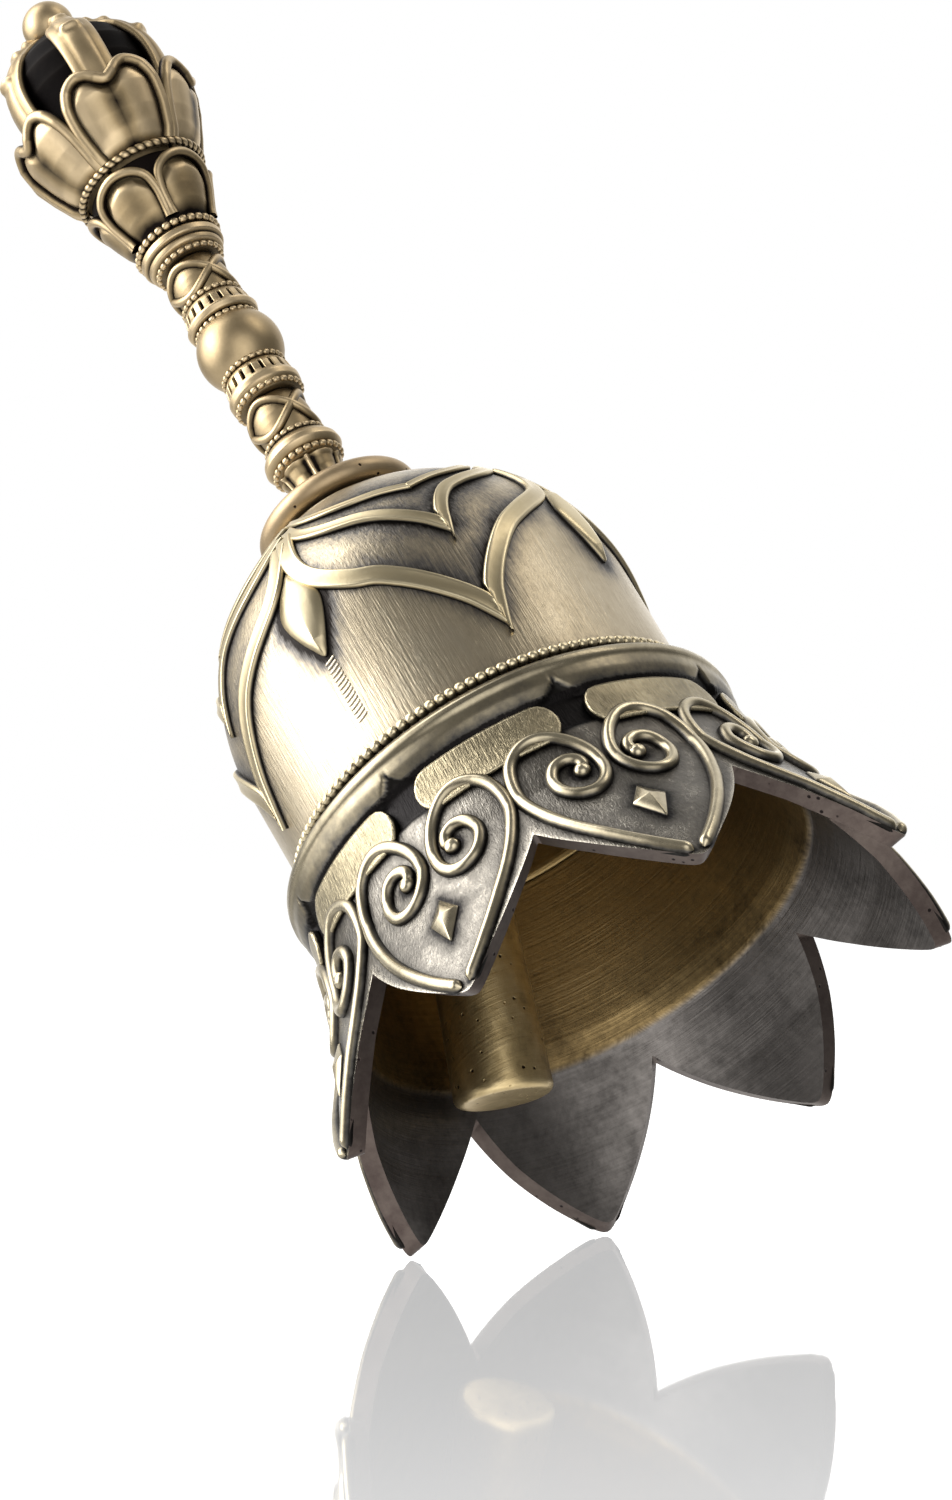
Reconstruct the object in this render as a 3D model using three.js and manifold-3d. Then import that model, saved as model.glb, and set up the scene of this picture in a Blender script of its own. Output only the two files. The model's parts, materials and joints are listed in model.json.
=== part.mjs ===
// A Tibetan hand bell: a domed bell over an eight-petal skirt, a stacked handle with a five-prong crown,
// and a clapper on a link. Millimetres, +Z up. The origin is on the bell's axis, in the plane that the
// petal tips stand on.
import * as THREE from "three";
import { mergeVertices } from "three/addons/utils/BufferGeometryUtils.js";
import Module from "manifold-3d";

const wasm = await Module();
wasm.setup();

// ---- Driving dimensions ----
const GAP = 0.2; // between two pieces that sit face to face
const PETALS = 8;
const FIRST_PETAL = -66.4; // degrees from +X to the middle of the petal at the front right
const NOTCH_Z = 16.4; // the top of the notch between two petals
const TIP_R = 45;
const PLATE = 2.5; // the thickness of a petal
const TIP_WIDTH = 2.4; // the blunt end of a petal
const SEAM_Z = 44.5; // where the dome stands on the skirt

const DOME_R = 29.2;
const DOME_CENTRE_Z = 63; // the dome is a tube below this height and half a ball above it
const WALL = 2.4;
const BOSS_R = 11.2;
const BOSS_TOP_Z = 90.7;
const PAD_Z = 87; // the flat inside the crown that the clamp washer seats on

const ROD_R = 1.8;
const BORE_R = 2.05; // the bore of every piece that the tie rod passes through
const ROD_TOP_Z = 184.8;

// The handle's pieces, each from its lower end to its upper end.
const FLANGE_Z = [91.5, 96.9];
const FLANGE_R = 11.85;
const NECK_Z = [97.1, 102];
const LOWER_COLLAR_Z = [102.2, 106.2];
const LOWER_LATTICE_Z = [106.4, 114];
const LOWER_DRUM_Z = [114.2, 119.5];
const BALL_Z = 124.1;
const BALL_R = 6.1;
const BALL_HALF = 4.3; // half of the ball's height between its two flats
const UPPER_DRUM_Z = [128.6, 132.3];
const UPPER_LATTICE_Z = [132.5, 139.6];
const UPPER_COLLAR_Z = [139.8, 143.2];
const LOWER_CUP_Z = [143.4, 154.6];
const ROPE_R = 9.1;
const ROPE_WIRE_R = 0.6;
const UPPER_CUP_Z = [154.8, 168.4];
const CUP_FLOOR_Z = 160.4; // the floor inside the upper cup, which the prongs stand on

const PRONGS = 5;
const FIRST_PRONG = -76; // degrees from +X to the prong at the front
const PRONG_WIDTH = [7.4, 3.3]; // at the foot and at the tip
const FINIAL_R = 3.7;
const FINIAL_Z = 186.3;

const EYE_R = 2.3; // an eye's radius at the middle of its wire
const EYE_WIRE_R = 0.8;
const LINK_WIRE_R = 0.75;
const LINK_R = 2.1; // the radius of the link's two bends
const LINK_DROP = 7.4; // from the bar that the link swings on to the link's own lowest bar
const HANGER_BAR_Z = 78.2; // the middle of the hanger eye's lowest wire
const CLAPPER_REACH = 63.5; // from the link's lowest bar to the clapper's lower end
const CLAPPER_LENGTH = 52;
const CLAPPER_R = 6.8;
const LINK_SWING = 14; // degrees about X that the link leans
const CLAPPER_SWING = 18.9; // degrees about the link's own Y that the clapper leans

// ---- Materials ----
const metal = (color, roughness) => new THREE.MeshStandardMaterial({ color, roughness, metalness: 1 });
const antiqueBrass = metal(0xa8915f, 0.42);
const darkBrass = metal(0x6e6552, 0.45);
const clapperBrass = metal(0x8a6c38, 0.5);
const steel = metal(0x8b8b88, 0.4);

// ---- Helpers ----
const radians = THREE.MathUtils.degToRad;

const solidOf = (geometry) => {
  const bare = geometry.clone();
  bare.deleteAttribute("normal");
  bare.deleteAttribute("uv");
  const merged = mergeVertices(bare, 1e-4);
  return new wasm.Manifold(
    new wasm.Mesh({
      numProp: 3,
      vertProperties: merged.attributes.position.array,
      triVerts: new Uint32Array(merged.index.array),
    }),
  );
};

const joined = (first, second) => {
  const mesh = solidOf(first).add(solidOf(second)).getMesh();
  const geometry = new THREE.BufferGeometry();
  geometry.setAttribute("position", new THREE.BufferAttribute(mesh.vertProperties, 3));
  geometry.setIndex(new THREE.BufferAttribute(mesh.triVerts, 1));
  return geometry;
};

// Turns a list of [radius, height] about Z. The list runs up the outside and down the inside.
const turned = (profile, segments = 20) => {
  const points = profile.map(([r, z]) => new THREE.Vector2(r, z));
  return new THREE.LatheGeometry(points, segments).rotateX(Math.PI / 2);
};

// A turned piece with the rod's bore along it, from its outer profile, lowest point first.
const bored = (outer, segments = 20) => {
  const [low, high] = [outer[0][1], outer[outer.length - 1][1]];
  return turned([[BORE_R, low], ...outer, [BORE_R, high], [BORE_R, low]], segments);
};

// Moves each vertex, given as its angle, radius and height, to a new radius, height and angle.
const reshaped = (geometry, place) => {
  const position = geometry.attributes.position;
  for (let i = 0; i < position.count; i++) {
    const angle = Math.atan2(position.getY(i), position.getX(i));
    const radius = Math.hypot(position.getX(i), position.getY(i));
    const [r, z, moved = angle] = place(angle, radius, position.getZ(i));
    position.setXYZ(i, r * Math.cos(moved), r * Math.sin(moved), z);
  }
  return geometry;
};

const arc = (centreR, centreZ, radius, from, to, steps) =>
  Array.from({ length: steps + 1 }, (_, i) => {
    const a = radians(from + ((to - from) * i) / steps);
    return [centreR + radius * Math.cos(a), centreZ + radius * Math.sin(a)];
  });

// Straight-line interpolation in a list of [height, radius], lowest first.
const radiusAt = (table, z) => {
  const next = Math.min(Math.max(1, table.findIndex(([height]) => height >= z)), table.length - 1);
  const [[z0, r0], [z1, r1]] = [table[next - 1], table[next]];
  return r0 + ((z - z0) / (z1 - z0)) * (r1 - r0);
};

// ---- The bell ----
const angleAtRadius = (r, ball) => THREE.MathUtils.radToDeg(Math.acos(r / ball));

const bellDome = () => {
  const inner = DOME_R - WALL;
  const padAngle = THREE.MathUtils.radToDeg(Math.asin((PAD_Z - DOME_CENTRE_Z) / inner));
  const foot = [inner, SEAM_Z];
  return turned([
    foot,
    [DOME_R, SEAM_Z],
    ...arc(0, DOME_CENTRE_Z, DOME_R, 0, angleAtRadius(BOSS_R, DOME_R), 8),
    [BOSS_R, BOSS_TOP_Z - 0.4],
    [BOSS_R - 0.4, BOSS_TOP_Z],
    [BORE_R, BOSS_TOP_Z],
    [BORE_R, PAD_Z],
    ...arc(0, DOME_CENTRE_Z, inner, padAngle, 0, 6),
    foot,
  ], 32);
};

const beadBand = () => turned(arc(DOME_R + 0.9, SEAM_Z + 0.55, 0.7, -90, 270, 6), 32);

// The skirt's outside as [height, radius]: the petals' flare, then the moulding under the dome.
const SKIRT_OUTSIDE = [
  [0, TIP_R],
  [10, 41],
  [NOTCH_Z, 37.7],
  [23, 35],
  [30, 33.3],
  [36, 32],
  [38.5, 32.8],
  [41.5, 33.05],
  [43, 32],
  [43.6, 29],
  [SEAM_Z - GAP, 28.9],
];
const SKIRT_INSIDE = [
  [0, TIP_R - PLATE],
  [10, 38.4],
  [NOTCH_Z, 35],
  [23, 32.2],
  [30, 30.4],
  [SEAM_Z - GAP, DOME_R - WALL],
];

// Eight columns of vertices make a petal. Column 0 is at its middle and columns 1 are at the two
// corners of its blunt tip, and the others share the rest of the way to the notch.
const COLUMNS = 8;
const PETAL_PITCH = (2 * Math.PI) / PETALS;
const BLUNT_ANGLE = TIP_WIDTH / 2 / TIP_R;
const FLARE_TOP_Z = 30; // below this the rows of vertices crowd down to follow the petals' edge

const petalSkirt = () => {
  const outside = SKIRT_OUTSIDE.map(([z, r]) => [r, z]);
  const inside = SKIRT_INSIDE.map(([z, r]) => [r, z]).reverse();
  const plain = turned([...outside, ...inside, outside[0]], PETALS * COLUMNS);
  plain.rotateZ(radians(FIRST_PETAL));
  return reshaped(plain, (angle, r, z) => {
    const table = r > radiusAt(SKIRT_OUTSIDE, z) - 0.3 ? SKIRT_OUTSIDE : SKIRT_INSIDE;
    const turns = (angle - radians(FIRST_PETAL)) / PETAL_PITCH;
    const petal = Math.round(turns);
    const column = Math.abs(turns - petal) * COLUMNS;
    const share = Math.max(0, (column - 1) / (COLUMNS / 2 - 1));
    const aside = Math.min(1, column) * BLUNT_ANGLE + share * (PETAL_PITCH / 2 - BLUNT_ANGLE);
    const edge = NOTCH_Z * (0.85 * share + 0.15 * share ** 3);
    const height = z < FLARE_TOP_Z ? edge + (z / FLARE_TOP_Z) * (FLARE_TOP_Z - edge) : z;
    const moved = radians(FIRST_PETAL) + petal * PETAL_PITCH + Math.sign(turns - petal) * aside;
    return [radiusAt(table, height), height, moved];
  });
};

// ---- The handle, from the flange up ----
const seatWasher = () => bored([[9.6, BOSS_TOP_Z + GAP], [9.6, FLANGE_Z[0] - GAP]]);

const neckFlange = () => {
  const rim = 1.75;
  return bored([
    ...arc(FLANGE_R - rim, FLANGE_Z[0] + rim, rim, -90, 75, 6),
    [7.5, FLANGE_Z[1] - 1.2],
    [4.6, FLANGE_Z[1]],
  ], 28);
};

const neck = () => {
  const [low, high] = NECK_Z;
  const ribs = [0, 1, 2].map((i) => low + 0.6 + i * 1.6);
  return bored([[4.1, low], ...ribs.flatMap((z) => [[4.1, z], [4.5, z + 0.4], [4.1, z + 0.8]]), [4.1, high]]);
};

const lowerCollar = () => {
  const [low, high] = LOWER_COLLAR_Z;
  return bored([[4.9, low], [5.3, low + 0.8], [5.7, low + 1.8], [5.5, low + 2.9], [4.7, high]]);
};

// A sleeve that stands out at both ends and at its middle, where its wires cross.
const lattice = ([low, high]) => {
  const middle = (low + high) / 2;
  return bored([
    [4.7, low],
    [4.7, low + 0.9],
    [4.2, low + 1.3],
    [4.7, middle],
    [4.2, high - 1.3],
    [4.7, high - 0.9],
    [4.7, high],
  ]);
};

const drum = ([low, high]) => bored([[4.7, low], [5.3, low + 1.2], [5.3, high - 1], [4.6, high]]);

const gripBall = () => {
  const flat = THREE.MathUtils.radToDeg(Math.asin(BALL_HALF / BALL_R));
  return bored(arc(0, BALL_Z, BALL_R, -flat, flat, 8));
};

const upperCollar = () => {
  const [low, high] = UPPER_COLLAR_Z;
  return bored([[4.8, low], [5.3, low + 0.8], [6.1, low + 1.5], [5.7, low + 2.3], [6.1, high]]);
};

// The small cup: a turned flare that swells into one lobe for each of its petals.
const lowerCup = () => {
  const [low, high] = LOWER_CUP_Z;
  const cup = bored([[6, low], [6.1, low + 2], [7.4, low + 5], [8.7, low + 8], [9.2, high]], 30);
  const middle = radians(FIRST_PRONG + 180 / PRONGS);
  return reshaped(cup, (angle, r, z) => {
    const lobe = Math.abs(Math.sin((PRONGS / 2) * (angle - middle)));
    return [r > BORE_R + 1 ? r - 0.4 * lobe ** 4 : r, z];
  });
};

const ropeRing = () =>
  turned(arc(ROPE_R, LOWER_CUP_Z[1] + GAP + ROPE_WIRE_R, ROPE_WIRE_R, -90, 270, 6), 30);

// The large cup that the prongs stand in. Its rim is high at each prong and dips between two of them.
const upperCup = () => {
  const [low, high] = UPPER_CUP_Z;
  const rope = ROPE_R - ROPE_WIRE_R - GAP;
  const wall = 1;
  const flare = [[9.6, low + 1.7], [11.6, low + 6], [13, low + 9.5], [13.3, low + 11.6]];
  const floor = CUP_FLOOR_Z;
  const cup = turned([
    [BORE_R, low],
    [rope, low],
    [rope, low + 1.7],
    ...flare,
    [12.9, high],
    [12.9 - wall, high],
    [13.3 - 1.5 * wall, low + 10],
    [10.5, floor],
    [BORE_R, floor],
    [BORE_R, low],
  ], 30);
  const dipDepth = 4;
  return reshaped(cup, (angle, r, z) => {
    const between = Math.abs(Math.sin((PRONGS / 2) * (angle - radians(FIRST_PRONG)))) ** 4;
    const share = Math.max(0, (z - floor) / (high - floor));
    return [r, z - dipDepth * between * share];
  });
};

// One bowed prong, drawn in its own radial plane and narrowing to its tip.
const prong = () => {
  const [footZ, tipZ] = [CUP_FLOOR_Z + GAP, 183.1];
  const bow = new THREE.Shape();
  bow.moveTo(6.9, footZ);
  bow.lineTo(9.2, footZ);
  bow.bezierCurveTo(10.4, 164, 10.9, 167, 11.6, 171);
  bow.bezierCurveTo(12.2, 175, 10, 180.4, 4.6, tipZ);
  bow.lineTo(2.9, tipZ - 0.3);
  bow.bezierCurveTo(5.4, 180, 8.6, 177.5, 8.8, 173);
  bow.bezierCurveTo(8.8, 169, 8.4, 165, 6.9, footZ);
  const bar = new THREE.ExtrudeGeometry(bow, { depth: 1, bevelEnabled: false, curveSegments: 5 });
  bar.translate(0, 0, -0.5).rotateX(Math.PI / 2);
  const position = bar.attributes.position;
  const [wide, narrow] = PRONG_WIDTH;
  const taperZ = 175;
  const [wideR, narrowR] = [9.5, 2.5];
  for (let i = 0; i < position.count; i++) {
    const high = position.getZ(i) > taperZ ? 1 : 0;
    const inward = Math.min(1, Math.max(0, (wideR - position.getX(i)) / (wideR - narrowR)));
    position.setY(i, position.getY(i) * (wide + high * inward * (narrow - wide)));
  }
  return bar;
};

// The swollen core that the prongs bow around.
const centreProng = () =>
  bored([
    [6.5, CUP_FLOOR_Z + GAP],
    [7.4, CUP_FLOOR_Z + 4],
    [8, CUP_FLOOR_Z + 8],
    [8.1, CUP_FLOOR_Z + 12],
    [7.4, CUP_FLOOR_Z + 15],
    [6, CUP_FLOOR_Z + 17.5],
    [4.2, CUP_FLOOR_Z + 19.8],
    [2.9, CUP_FLOOR_Z + 21],
  ], 24);

const finialBall = () => {
  const mouth = THREE.MathUtils.radToDeg(Math.acos(BORE_R / FINIAL_R));
  const mouthZ = FINIAL_Z - FINIAL_R * Math.sin(radians(mouth));
  const hole = ROD_TOP_Z + GAP;
  return turned([
    [BORE_R, mouthZ],
    ...arc(0, FINIAL_Z, FINIAL_R, -mouth + 12, 78, 9),
    [0, FINIAL_Z + FINIAL_R],
    [0, hole],
    [BORE_R, hole],
    [BORE_R, mouthZ],
  ]);
};

// ---- What holds the handle to the bell, and hangs the clapper ----
const WASHER_Z = [PAD_Z - GAP - 1, PAD_Z - GAP];
const SOCKET_Z = [HANGER_BAR_Z + 2 * EYE_R - 0.4, WASHER_Z[0] - GAP];
const SOCKET_FLOOR_Z = SOCKET_Z[0] + 1; // the blind end of the hole that the rod screws into

const clampWasher = () => bored([[5.4, WASHER_Z[0]], [5.4, WASHER_Z[1]]], 20);

const tieRod = () => {
  const low = SOCKET_FLOOR_Z + GAP;
  const rod = new THREE.CylinderGeometry(ROD_R, ROD_R, ROD_TOP_Z - low, 20);
  return rod.rotateX(Math.PI / 2).translate(0, 0, (ROD_TOP_Z + low) / 2);
};

// A ring of wire that stands in the XZ plane.
const eyeRing = (centreZ) =>
  new THREE.TorusGeometry(EYE_R, EYE_WIRE_R, 8, 18).rotateX(Math.PI / 2).translate(0, 0, centreZ);

const hangerEye = () => {
  const [low, high] = SOCKET_Z;
  const socket = turned([
    [0, low],
    [2.6, low],
    [3.4, low + 0.8],
    [3.4, high],
    [BORE_R, high],
    [BORE_R, SOCKET_FLOOR_Z],
    [0, SOCKET_FLOOR_Z],
  ], 20);
  return joined(socket, eyeRing(HANGER_BAR_Z + EYE_R));
};

// A long link of round wire in the YZ plane. The bar that it swings on is at its origin.
const linkRing = () => {
  const upper = EYE_WIRE_R + LINK_WIRE_R + GAP - LINK_R;
  const lower = LINK_R - LINK_DROP;
  const bend = (centreZ, start) =>
    Array.from({ length: 7 }, (_, i) => {
      const a = start + (Math.PI * i) / 6;
      return new THREE.Vector3(0, LINK_R * Math.cos(a), centreZ + LINK_R * Math.sin(a));
    });
  const route = new THREE.CatmullRomCurve3([...bend(upper, 0), ...bend(lower, Math.PI)], true);
  const section = new THREE.Shape().absarc(0, 0, LINK_WIRE_R, 0, 2 * Math.PI);
  return new THREE.ExtrudeGeometry(section, { steps: 28, extrudePath: route, curveSegments: 4 });
};

// The clapper is drawn hanging from the link's lowest bar, which is its origin.
const CLAPPER_TOP = CLAPPER_LENGTH - CLAPPER_REACH;

const clapperEye = () => {
  const centreZ = LINK_WIRE_R + EYE_WIRE_R + GAP - EYE_R;
  const [low, high] = [CLAPPER_TOP - 6, centreZ - EYE_R + 0.3];
  const shank = new THREE.CylinderGeometry(1.3, 1.3, high - low, 16).rotateX(Math.PI / 2);
  return joined(shank.translate(0, 0, (low + high) / 2), eyeRing(centreZ));
};

const clapperCylinder = () => {
  const [low, high] = [-CLAPPER_REACH, CLAPPER_TOP];
  const hole = 1.3 + GAP;
  const holeFloor = high - 6 - GAP;
  return turned([
    [0, low],
    [CLAPPER_R - 1.1, low],
    [CLAPPER_R, low + 1.1],
    [CLAPPER_R - 0.45, low + 15],
    [CLAPPER_R - 2, high - 3],
    [CLAPPER_R - 4, high],
    [hole, high],
    [hole, holeFloor],
    [0, holeFloor],
  ], 28);
};

// ---- The assembly ----
const bell = new THREE.Group();

const add = (parent, name, geometry, material) => {
  const mesh = new THREE.Mesh(geometry, material);
  mesh.name = name;
  parent.add(mesh);
  return mesh;
};

add(bell, "bell_dome", bellDome(), antiqueBrass);
add(bell, "bead_band", beadBand(), antiqueBrass);
add(bell, "petal_skirt", petalSkirt(), darkBrass);
add(bell, "seat_washer", seatWasher(), darkBrass);
add(bell, "neck_flange", neckFlange(), antiqueBrass);
add(bell, "ribbed_neck", neck(), antiqueBrass);
add(bell, "lower_collar", lowerCollar(), antiqueBrass);
add(bell, "lower_lattice", lattice(LOWER_LATTICE_Z), antiqueBrass);
add(bell, "lower_drum", drum(LOWER_DRUM_Z), antiqueBrass);
add(bell, "grip_ball", gripBall(), antiqueBrass);
add(bell, "upper_drum", drum(UPPER_DRUM_Z), antiqueBrass);
add(bell, "upper_lattice", lattice(UPPER_LATTICE_Z), antiqueBrass);
add(bell, "upper_collar", upperCollar(), antiqueBrass);
add(bell, "lower_lotus_cup", lowerCup(), antiqueBrass);
add(bell, "rope_ring", ropeRing(), antiqueBrass);
add(bell, "upper_lotus_cup", upperCup(), antiqueBrass);
for (let i = 0; i < PRONGS; i++) {
  const made = add(bell, `crown_prong_${i + 1}`, prong(), antiqueBrass);
  made.rotation.z = radians(FIRST_PRONG + (360 / PRONGS) * i);
}
add(bell, "centre_prong", centreProng(), darkBrass);
add(bell, "finial_ball", finialBall(), antiqueBrass);
add(bell, "tie_rod", tieRod(), steel);
add(bell, "clamp_washer", clampWasher(), steel);
add(bell, "hanger_eye", hangerEye(), clapperBrass);

const link = new THREE.Group();
link.position.z = HANGER_BAR_Z;
link.rotation.x = radians(LINK_SWING);
bell.add(link);
add(link, "link_ring", linkRing(), steel);

const clapper = new THREE.Group();
clapper.position.z = -LINK_DROP;
clapper.rotation.y = radians(CLAPPER_SWING);
link.add(clapper);
add(clapper, "clapper_eye", clapperEye(), steel);
add(clapper, "clapper_cylinder", clapperCylinder(), clapperBrass);

export default bell;
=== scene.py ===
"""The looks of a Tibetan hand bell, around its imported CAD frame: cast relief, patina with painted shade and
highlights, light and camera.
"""
import json
import math

import bpy
import numpy as np
from mathutils import Matrix, Vector
from mathutils.kdtree import KDTree


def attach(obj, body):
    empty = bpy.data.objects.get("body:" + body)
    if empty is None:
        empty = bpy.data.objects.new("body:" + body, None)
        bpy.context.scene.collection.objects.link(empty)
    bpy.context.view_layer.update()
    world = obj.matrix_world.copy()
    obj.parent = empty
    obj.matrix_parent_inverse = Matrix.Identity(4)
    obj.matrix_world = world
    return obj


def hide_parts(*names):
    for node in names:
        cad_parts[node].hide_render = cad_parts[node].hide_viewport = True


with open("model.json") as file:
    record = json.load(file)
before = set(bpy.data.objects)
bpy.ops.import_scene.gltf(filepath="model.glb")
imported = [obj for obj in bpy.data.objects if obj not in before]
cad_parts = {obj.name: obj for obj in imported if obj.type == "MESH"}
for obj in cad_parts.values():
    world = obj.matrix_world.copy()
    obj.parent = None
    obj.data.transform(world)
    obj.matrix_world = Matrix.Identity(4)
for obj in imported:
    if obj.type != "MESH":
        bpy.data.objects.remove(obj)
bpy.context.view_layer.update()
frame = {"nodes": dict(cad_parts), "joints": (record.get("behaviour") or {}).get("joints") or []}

MM = 0.001

# ---- Driving dimensions, in millimetres and degrees ----
# An angle on the bell is counted from the middle of the first petal, which is at the front right.
FIRST_PETAL = -66.4
PETALS = 8
NOTCH_Z = 16.4
TIP_R = 45.0
TIP_ROUND = 1.3  # how far a petal's rounded tip reaches to either side, as an angle
SEAM_Z = 44.5
DOME_R = 29.3
DOME_CENTRE_Z = 63.0
BORE_R = 2.05
FIRST_PRONG = -76.0
NECK_RIB = -84.0
PRONGS = 5

# The outside and inside of the bell as (height, radius).
SKIRT_OUTSIDE = [
    (0, TIP_R), (5, 43.1), (10, 41), (NOTCH_Z, 37.9), (23, 35), (30, 33.2), (36, 32.1), (36.6, 32.5),
    (38.5, 33.0), (40.2, 33.0), (40.5, 33.3), (41.6, 33.2), (42.2, 32.3), (43, 31.2), (43.5, 29.3), (44.3, 29.1),
]
SKIRT_INSIDE = [
    (0, 42.5), (10, 38.5), (NOTCH_Z, 35.2), (19.6, 33.7), (20, 33.2), (23, 32.1), (30, 30.3), (44.3, 26.8),
]


def dome_radius(z):
    """The dome's outside: a tube below its centre and a ball above."""
    above = np.maximum(np.asarray(z, float) - DOME_CENTRE_Z, 0)
    return np.sqrt(np.maximum(DOME_R ** 2 - above ** 2, 1))


def table_radius(table):
    heights, radii = zip(*table)
    return lambda z: np.interp(z, heights, radii)


skirt_radius = table_radius(SKIRT_OUTSIDE)


# ---- Mesh helpers ----
class Casting:
    """Grids of points joined into one mesh. Each point has a shade: -1 for painted shade and patina in a recess, 1 for
    a painted highlight and wear on an edge or crest.
    """

    def __init__(self):
        self.points, self.faces, self.shades, self.zones = [], [], [], []
        self.count = 0

    def grid(self, points, shade=0.0, wrap_rows=False, wrap_columns=True, zone=0):
        rows, columns = points.shape[:2]
        index = np.arange(rows * columns).reshape(rows, columns)
        if wrap_rows:
            index = np.vstack([index, index[:1]])
        if wrap_columns:
            index = np.hstack([index, index[:, :1]])
        corners = [index[:-1, :-1], index[:-1, 1:], index[1:, 1:], index[1:, :-1]]
        faces = np.stack([c.ravel() for c in corners], 1) + self.count
        self.points.append(points.reshape(-1, 3))
        self.shades.append(np.broadcast_to(shade, (rows, columns)).ravel())
        self.faces.append(faces)
        self.zones.append(np.full(len(faces), zone))
        self.count += rows * columns
        return self

    def make(self, name, materials, body, replaces=()):
        mesh = bpy.data.meshes.new(name)
        mesh.from_pydata(np.concatenate(self.points) * MM, [], np.concatenate(self.faces).tolist())
        mesh.polygons.foreach_set("material_index", np.concatenate(self.zones).astype(np.int32))
        mesh.polygons.foreach_set("use_smooth", np.ones(len(mesh.polygons), bool))
        shade = mesh.attributes.new("shade", "FLOAT", "POINT")
        shade.data.foreach_set("value", np.concatenate(self.shades).astype(np.float32))
        for material in materials:
            mesh.materials.append(material)
        piece = bpy.data.objects.new(name, mesh)
        bpy.context.scene.collection.objects.link(piece)
        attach(piece, body)
        if replaces:
            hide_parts(*replaces)
        return piece


def smooth_line(points, step, closed=False):
    """A Catmull-Rom line through the points, sampled about every step."""
    p = np.asarray(points, float)
    if closed:
        p = np.vstack([p[-1], p, p[0], p[1]])
    else:
        p = np.vstack([2 * p[0] - p[1], p, 2 * p[-1] - p[-2]])
    t = np.linspace(0, 1, 24, endpoint=False)[:, None]
    parts = []
    for a, b, c, d in zip(p, p[1:], p[2:], p[3:]):
        parts.append(0.5 * (2 * b + (c - a) * t + (2 * a - 5 * b + 4 * c - d) * t ** 2 + (3 * b - a - 3 * c + d) * t ** 3))
    line = np.vstack(parts + [p[-2:-1]])
    return even_line(line, step)


def even_line(points, step):
    """The same line with its points about a step apart."""
    p = np.asarray(points, float)
    along = np.concatenate([[0], np.cumsum(np.linalg.norm(np.diff(p, axis=0), axis=1))])
    count = max(2, int(round(along[-1] / step)) + 1)
    at = np.linspace(0, along[-1], count)
    return np.stack([np.interp(at, along, p[:, k]) for k in range(p.shape[1])], 1)


def around(radius, angle, z):
    """Points at these radii, angles in degrees from +X, and heights."""
    a = np.radians(angle)
    return np.stack(np.broadcast_arrays(radius * np.cos(a), radius * np.sin(a), z), -1)


def surface_frame(radius_at, angle, z):
    """Points on a turned surface, and its outward normals there."""
    e = 0.05
    slope = (radius_at(z + e) - radius_at(z - e)) / (2 * e)
    a = np.radians(angle)
    normal = np.stack([np.cos(a), np.sin(a), -slope], -1)
    normal /= np.linalg.norm(normal, axis=-1, keepdims=True)
    return around(radius_at(z), angle, z), normal


def strip(casting, radius_at, line, section, first=FIRST_PETAL, taper=0, zone=0, keep=0):
    """Sweeps a section of (across, up, shade) along a line of (angle, height) on a turned surface.

    keep is 1 or -1 to cut the strip off where its angle changes sign, as in a mitre."""
    angle, z = line[:, 0] + first, line[:, 1]
    middle, normal = surface_frame(radius_at, angle, z)
    tangent = np.gradient(middle, axis=0)
    tangent /= np.linalg.norm(tangent, axis=1, keepdims=True)
    side = np.cross(normal, tangent)
    side /= np.linalg.norm(side, axis=1, keepdims=True)
    count = len(line)
    size = np.ones(count)
    if taper:
        ends = np.minimum(np.arange(count), np.arange(count)[::-1]) / taper
        size = np.sqrt(np.clip(1 - (1 - np.clip(ends, 0, 1)) ** 2, 0.02, 1))
    across, up, shade = (np.asarray(column) for column in zip(*section))
    points = (
        middle[:, None]
        + side[:, None] * (across[None, :, None] * size[:, None, None])
        + normal[:, None] * (up[None, :, None] * size[:, None, None])
    )
    if keep:
        reach = np.hypot(points[..., 0], points[..., 1])
        turn = np.degrees(np.arctan2(points[..., 1], points[..., 0])) - first
        turn = (turn + 180) % 360 - 180
        points = around(reach, np.maximum(turn * keep, 0) * keep + first, points[..., 2])
        middle = middle[line[:, 0] * keep >= 0]
    casting.grid(points, shade[None, :], wrap_columns=True, zone=zone)
    return middle


def wire_section(width, height, steps=10):
    """A half-round wire sunk in the surface: painted shade where it meets it, and wear with a painted highlight on its
    crest.
    """
    a = np.linspace(0, math.pi, steps)
    section = [(-0.5 * width * math.cos(t), height * math.sin(t), 1.4 * math.sin(t) ** 1.5 - 0.9) for t in a]
    return [(-0.5 * width, -0.5, -1)] + section + [(0.5 * width, -0.5, -1)]


def boss(casting, radius_at, outline, spine, heights, first=FIRST_PETAL, zone=0):
    """A raised patch. Its rings run from the outline in to the spine, at the given (share, up, shade)."""
    rings = []
    shades = []
    for share, up, shade in heights:
        ring = spine + (outline - spine) * share
        middle, normal = surface_frame(radius_at, ring[:, 0] + first, ring[:, 1])
        rings.append(middle + normal * up)
        shades.append(np.full(len(ring), float(shade)))
    casting.grid(np.stack(rings), np.stack(shades), wrap_columns=True, zone=zone)
    return rings[0]


def blurred(values, rows, columns):
    """A box blur, twice, of a grid that wraps around its columns."""
    for _ in range(2):
        for axis, reach in ((0, rows), (1, columns)):
            if reach < 1:
                continue
            mode = "edge" if axis == 0 else "wrap"
            pad = [(reach, reach) if k == axis else (0, 0) for k in range(2)]
            total = np.cumsum(np.pad(values, pad, mode=mode), axis=axis)
            total = np.insert(total, 0, 0, axis=axis)
            width = 2 * reach + 1
            high = np.take(total, range(width, total.shape[axis]), axis=axis)
            low = np.take(total, range(0, total.shape[axis] - width), axis=axis)
            values = (high - low) / width
    return values


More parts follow.
